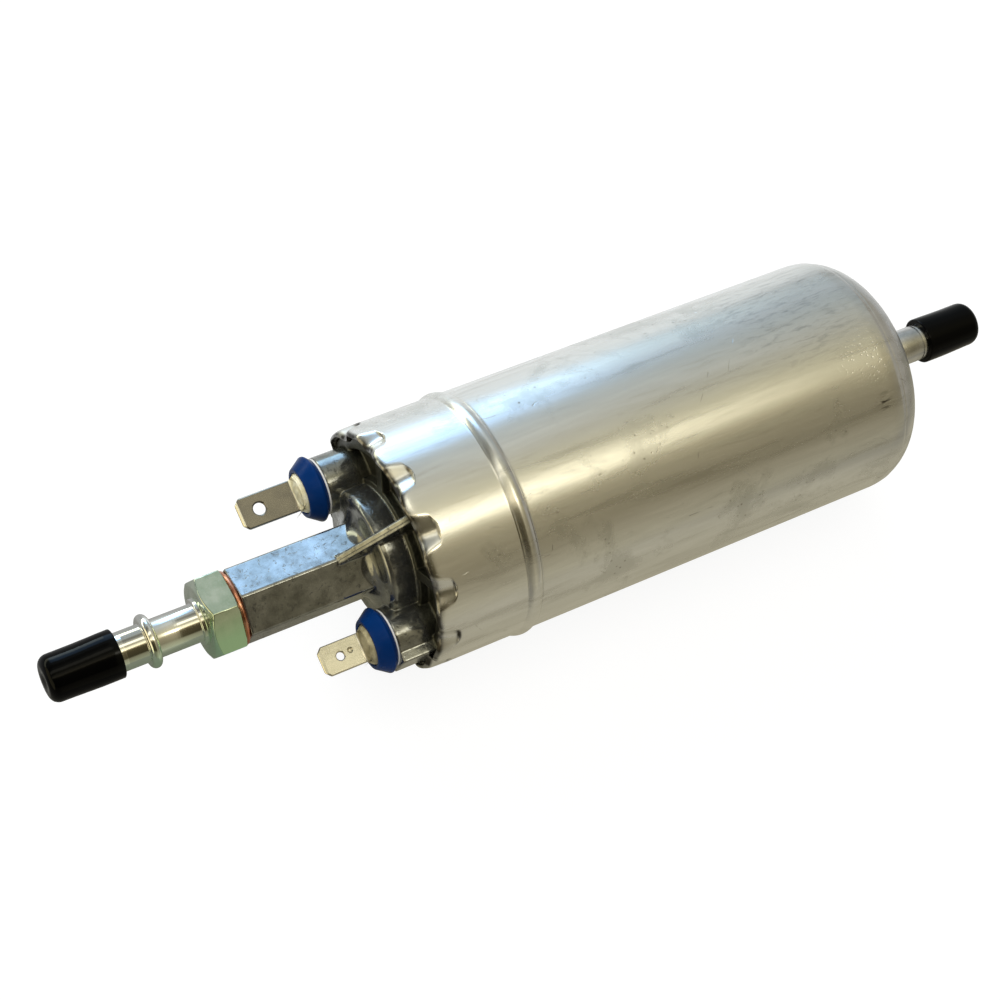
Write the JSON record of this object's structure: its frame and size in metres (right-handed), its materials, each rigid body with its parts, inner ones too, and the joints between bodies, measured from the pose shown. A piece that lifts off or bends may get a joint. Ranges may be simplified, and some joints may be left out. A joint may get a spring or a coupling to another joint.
{
  "type": "in-line electric fuel pump",
  "caption": "In-line electric fuel pump with a crimped aluminium can, a die-cast hexagonal outlet boss, a quick-connect spigot, a hose spigot and two blade terminals in blue insulators.",
  "frame": {"origin": "on the pump's axis, halfway along the plain stretch of the can between the bead and the rear shoulder, where a band clamp grips", "axes": "+X along the axis from the outlet to the inlet, +Y from the axis to the wide terminal, +Z to the side of the upper gusset rib"},
  "size_m": [0.2226, 0.0532, 0.0532],
  "materials": {
    "can_aluminium": "drawn and lightly scratched, satin",
    "pipe_aluminium": "drawn, satin",
    "die_cast_zinc": "dark grey die casting with a dull skin",
    "black_rubber": "moulded",
    "passivated_steel": "zinc plated and passivated, greenish and bright",
    "copper": "bare copper, rubbed",
    "tinned_brass": "tinned brass with a dull olive cast",
    "pale_brass": "pale bright brass",
    "blue_plastic": "moulded, deep blue",
    "white_plastic": "moulded, off-white",
    "brown_plastic": "moulded, brown",
    "carbon": "pressed carbon",
    "spring_steel": "drawn wire and strip",
    "ferrite": "sintered ferrite",
    "mild_steel": "plain steel",
    "sintered_bronze": "sintered bronze",
    "ground_steel": "ground",
    "enamelled_copper": "enamelled winding wire",
    "plate_aluminium": "machined",
    "sintered_steel": "sintered and ground",
    "red_rubber": "moulded",
    "black_vinyl": "dipped vinyl, glossy"
  },
  "bodies": {
    "root": {"housing": "can_aluminium", "inlet_pipe": "pipe_aluminium", "front_cover": "die_cast_zinc", "cover_seal": "black_rubber", "outlet_fitting": "passivated_steel", "sealing_washer": "copper", "wide_terminal": "tinned_brass", "narrow_terminal": "pale_brass", "wide_insulator": "blue_plastic", "narrow_insulator": "blue_plastic", "fibre_washers": "white_plastic", "brush_holder": "brown_plastic", "brush_tubes": "pale_brass", "upper_brush_spring": "spring_steel", "lower_brush_spring": "spring_steel", "upper_magnet": "ferrite", "lower_magnet": "ferrite", "magnet_clips": "spring_steel", "flux_ring": "mild_steel", "front_bush": "sintered_bronze", "rear_bush": "sintered_bronze", "bearing_plate": "plate_aluminium", "pump_ring": "mild_steel", "rotor_pin": "ground_steel", "intake_plate": "plate_aluminium", "pump_screws": "ground_steel", "relief_spring": "spring_steel", "relief_retainer": "pale_brass", "check_spring": "spring_steel", "inlet_strainer": "white_plastic"},
    "armature": {"armature_shaft": "ground_steel", "armature_core": "mild_steel", "armature_windings": "enamelled_copper", "commutator": "copper", "thrust_washers": "white_plastic", "drive_coupling": "white_plastic", "inner_rotor": "sintered_steel"},
    "outer_rotor": {"outer_rotor": "sintered_steel"},
    "upper_brush": {"upper_brush": "carbon"},
    "lower_brush": {"lower_brush": "carbon"},
    "check_valve": {"check_valve": "red_rubber"},
    "relief_ball": {"relief_ball": "ground_steel"},
    "inlet_cap": {"inlet_cap": "black_vinyl"},
    "outlet_cap": {"outlet_cap": "black_vinyl"}
  },
  "joints": [
    {"name": "armature_spin", "type": "hinge", "parent": "root", "child": "armature", "pos_m": [0, 0, 0], "axis": [1, 0, 0], "continuous": true},
    {"name": "outer_rotor_spin", "type": "hinge", "parent": "root", "child": "outer_rotor", "pos_m": [0.0245, 0, 0.0012], "axis": [1, 0, 0], "continuous": true},
    {"name": "upper_brush_slide", "type": "slide", "parent": "root", "child": "upper_brush", "axis": [0, 1, 0], "range_m": [0, 0.003], "stiffness_N_per_m": 250, "springref_m": -0.004, "deforming": ["upper_brush_spring"]},
    {"name": "lower_brush_slide", "type": "slide", "parent": "root", "child": "lower_brush", "axis": [0, -1, 0], "range_m": [0, 0.003], "stiffness_N_per_m": 250, "springref_m": -0.004, "deforming": ["lower_brush_spring"]},
    {"name": "check_valve_slide", "type": "slide", "parent": "root", "child": "check_valve", "axis": [-1, 0, 0], "range_m": [0, 0.002], "stiffness_N_per_m": 150, "springref_m": -0.003, "deforming": ["check_spring"]},
    {"name": "relief_ball_slide", "type": "slide", "parent": "root", "child": "relief_ball", "axis": [1, 0, 0], "range_m": [0, 0.0015], "stiffness_N_per_m": 400, "springref_m": -0.004, "deforming": ["relief_spring"]},
    {"name": "inlet_cap_pull", "type": "slide", "parent": "root", "child": "inlet_cap", "axis": [1, 0, 0], "range_m": [0, 0.04]},
    {"name": "outlet_cap_pull", "type": "slide", "parent": "root", "child": "outlet_cap", "axis": [-1, 0, 0], "range_m": [0, 0.04]}
  ],
  "couplings": [
    {"joint": "outer_rotor_spin", "follows": "armature_spin", "ratio": 0.85714}
  ]
}
